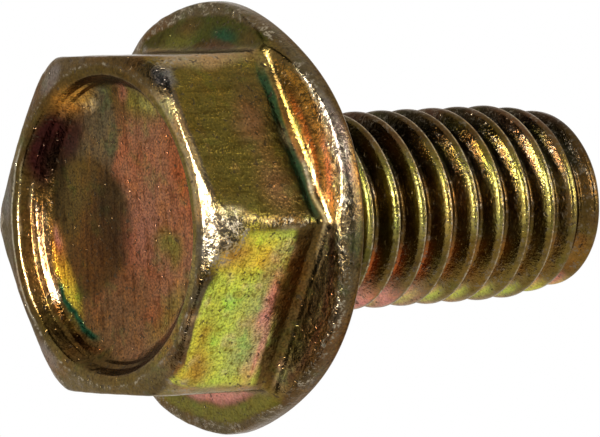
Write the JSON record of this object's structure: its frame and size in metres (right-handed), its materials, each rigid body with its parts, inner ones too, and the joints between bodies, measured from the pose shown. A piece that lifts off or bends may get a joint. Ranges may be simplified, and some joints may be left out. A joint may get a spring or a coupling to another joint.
{
  "type": "flange bolt",
  "caption": "Short metric bolt with a dished hexagon head and a washer flange forged in one piece, and a thread that runs right up to the flange.",
  "frame": {"origin": "centre of the flange's bearing face, on the bolt's axis", "axes": "+Z along the axis from the head towards the thread's point; two corners of the hexagon lie over the X axis; the bolt stands on the rim of its head"},
  "size_m": [0.0128, 0.0128, 0.0169],
  "materials": {
    "yellow_zinc": "bright zinc plate with an iridescent yellow chromate film, worn grey along the edges"
  },
  "bodies": {
    "root": {"flange_bolt": "yellow_zinc"}
  },
  "joints": []
}
